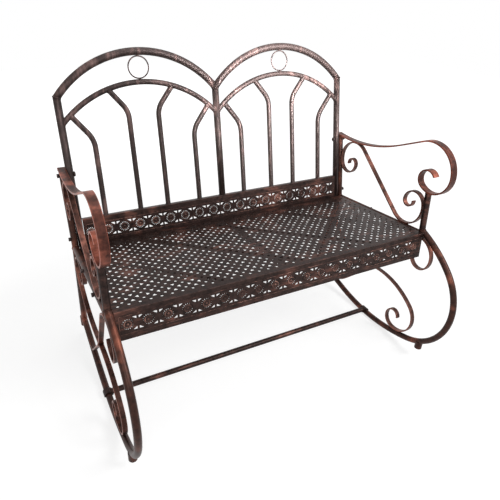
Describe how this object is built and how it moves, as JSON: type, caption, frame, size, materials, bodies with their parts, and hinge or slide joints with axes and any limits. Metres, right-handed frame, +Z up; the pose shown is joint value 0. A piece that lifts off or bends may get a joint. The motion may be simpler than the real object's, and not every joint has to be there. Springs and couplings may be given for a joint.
{
  "type": "garden rocking bench",
  "caption": "Garden rocking bench of bent steel tube with scrolled side frames, arched slatted backrest and pierced sheet seat.",
  "frame": {"origin": "on the floor, under the middle of the bench's outline", "axes": "+X along the bench towards the sitter's left, +Y from the front to the back, +Z up"},
  "size_m": [1.0522, 0.7364, 0.9583],
  "materials": {
    "side_paint": "baked antique brown paint with copper wear",
    "back_paint": "baked antique brown paint, greyer on the back",
    "sheet_paint": "baked dark brown paint on pierced sheet",
    "fastener_paint": "painted steel fasteners",
    "stop_paint": "painted steel stops"
  },
  "bodies": {
    "root": {"rocker_left": "side_paint", "rear_leg_left": "side_paint", "arm_post_left": "side_paint", "seat_side_rail_left": "side_paint", "armrest_left": "side_paint", "side_scroll_left": "side_paint", "long_scroll_left": "side_paint", "bow_scroll_left": "side_paint", "tail_brace_left": "side_paint", "front_stop_left": "stop_paint", "rear_stop_left": "stop_paint", "stretcher_saddle_left": "side_paint", "back_post_left": "back_paint", "top_arch_left": "back_paint", "inner_arch_left": "back_paint", "arch_ring_left": "back_paint", "rocker_right": "side_paint", "rear_leg_right": "side_paint", "arm_post_right": "side_paint", "seat_side_rail_right": "side_paint", "armrest_right": "side_paint", "side_scroll_right": "side_paint", "long_scroll_right": "side_paint", "bow_scroll_right": "side_paint", "tail_brace_right": "side_paint", "front_stop_right": "stop_paint", "rear_stop_right": "stop_paint", "stretcher_saddle_right": "side_paint", "back_post_right": "back_paint", "top_arch_right": "back_paint", "inner_arch_right": "back_paint", "arch_ring_right": "back_paint", "back_post_centre": "back_paint", "slat_1": "back_paint", "slat_2": "back_paint", "slat_3": "back_paint", "slat_4": "back_paint", "slat_5": "back_paint", "slat_6": "back_paint", "slat_7": "back_paint", "slat_8": "back_paint", "back_panel": "sheet_paint", "seat_sheet": "sheet_paint", "front_apron": "sheet_paint", "seat_front_rail": "sheet_paint", "seat_rear_rail": "sheet_paint", "seat_centre_rib": "sheet_paint", "seat_straps": "sheet_paint", "stretcher": "side_paint", "back_bolts": "fastener_paint", "seat_bolts": "fastener_paint"}
  },
  "joints": []
}
